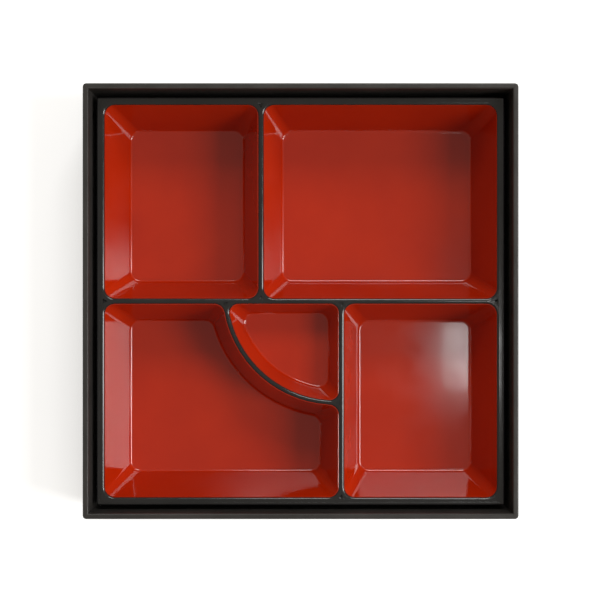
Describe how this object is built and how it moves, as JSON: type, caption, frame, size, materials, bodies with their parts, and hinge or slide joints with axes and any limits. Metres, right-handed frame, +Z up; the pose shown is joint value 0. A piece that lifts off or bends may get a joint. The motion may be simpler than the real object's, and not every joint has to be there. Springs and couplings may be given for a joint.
{
  "type": "compartment lunch box",
  "caption": "Square stacking lunch box tier in satin black with a lift-out tray whose drafted compartments are lacquered red, one of them a raised quarter-round well.",
  "frame": {"origin": "middle of the box's base, on the surface it stands on", "axes": "+X to the right and +Y to the back as the picture shows it from above, +Z up out of the box's mouth"},
  "size_m": [0.27, 0.27, 0.056],
  "materials": {
    "satin_black": "satin black",
    "gloss_black": "gloss black",
    "red_lacquer": "gloss vermilion lacquer"
  },
  "bodies": {
    "box": {"outer_box": "satin_black"},
    "tray": {"insert_tray": "gloss_black", "lacquer_top_left": "red_lacquer", "lacquer_top_right": "red_lacquer", "lacquer_bottom_left": "red_lacquer", "lacquer_bottom_right": "red_lacquer", "lacquer_quarter_round": "red_lacquer"}
  },
  "joints": [
    {"name": "tray_lift", "type": "slide", "parent": "box", "child": "tray", "axis": [0, 0, 1], "range_m": [0, 0.055]}
  ]
}
